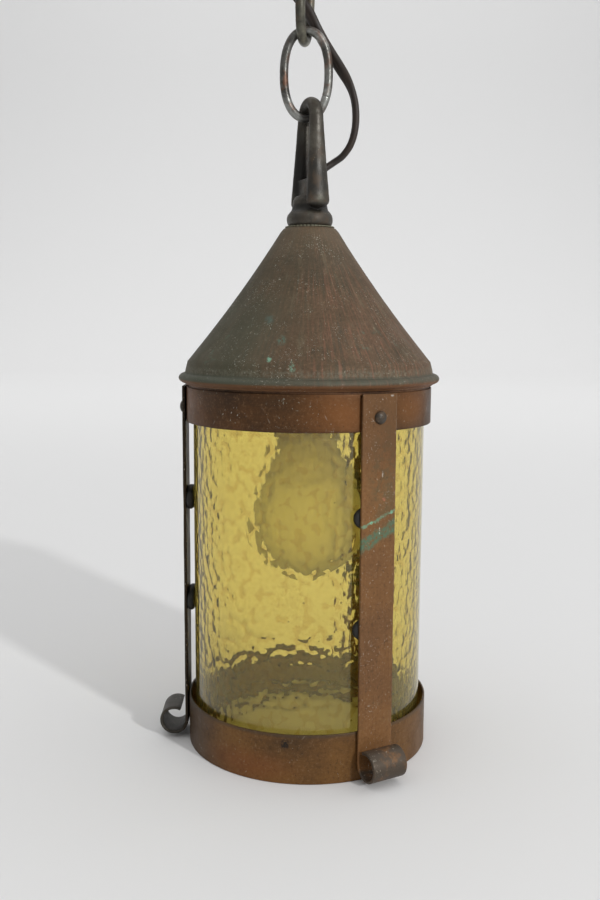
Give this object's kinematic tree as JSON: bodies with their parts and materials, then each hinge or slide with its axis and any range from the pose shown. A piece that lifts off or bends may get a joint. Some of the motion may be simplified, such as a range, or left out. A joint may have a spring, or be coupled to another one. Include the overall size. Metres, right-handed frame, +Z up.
{
  "type": "hanging lantern",
  "caption": "Copper hanging lantern with a cone roof, an amber hammered glass tube, curled strap feet, a cast hanger, chain links, a flex and a ceiling canopy.",
  "frame": {"origin": "centre of the mounting bar's two screw slots, on the ceiling plane", "axes": "+Z up into the ceiling, -Y towards the viewer, +X to the viewer's right"},
  "size_m": [0.1465, 0.1444, 0.452],
  "materials": {
    "copper": "aged",
    "roof_copper": "aged",
    "bronze": "satin",
    "brass": "satin",
    "steel": "satin",
    "amber_glass": "gloss",
    "bulb_white": "satin",
    "dark_rubber": "matte",
    "phenolic": "satin",
    "flex_brown": "satin"
  },
  "bodies": {
    "canopy": {"mounting_bar": "steel", "canopy_nipple": "brass", "nipple_nut": "brass", "canopy_dish": "copper", "canopy_collar": "bronze", "canopy_eye": "bronze", "cord_bushing": "dark_rubber"},
    "upper_link": {"upper_link": "bronze"},
    "ring_link": {"ring_link": "bronze"},
    "lantern": {"cord": "flex_brown", "hanger_loop": "bronze", "top_washer": "brass", "stem_nipple": "brass", "roof_cone": "roof_copper", "roof_skirt": "copper", "roof_washer": "steel", "roof_nut": "brass", "upper_band": "copper", "base_band": "copper", "glass_seat": "copper", "strap_front": "copper", "strap_left": "copper", "strap_rear": "copper", "upper_rivets": "bronze", "base_rivets": "bronze", "glass_cylinder": "amber_glass", "glass_pads": "dark_rubber", "socket_cap": "brass", "socket_shell": "brass", "socket_liner": "phenolic", "socket_core": "phenolic", "socket_screw_shell": "brass", "socket_contact": "brass", "terminal_screws": "brass", "lamp_lead": "flex_brown"},
    "bulb": {"bulb_glass": "bulb_white", "bulb_cap": "steel", "bulb_insulator": "phenolic", "bulb_tip": "steel", "bulb_stem": "bulb_white", "bulb_filament": "steel"}
  },
  "joints": [
    {"name": "link_swing", "type": "hinge", "parent": "canopy", "child": "upper_link", "pos_m": [-0.0023, 0, -0.05364], "axis": [1, 0, 0], "range_deg": [-22, 22], "deforming": ["cord"]},
    {"name": "ring_swing", "type": "hinge", "parent": "upper_link", "child": "ring_link", "pos_m": [-0.0036, 0, -0.09108], "axis": [0, 1, 0], "range_deg": [-18, 18], "deforming": ["cord"]},
    {"name": "lantern_swing", "type": "hinge", "parent": "ring_link", "child": "lantern", "pos_m": [0, 0, -0.12815], "axis": [1, 0, 0], "range_deg": [-18, 18], "deforming": ["cord"]},
    {"name": "bulb_turn", "type": "hinge", "parent": "lantern", "child": "bulb", "pos_m": [0, 0, -0.262], "axis": [0, 0, 1], "continuous": true}
  ]
}
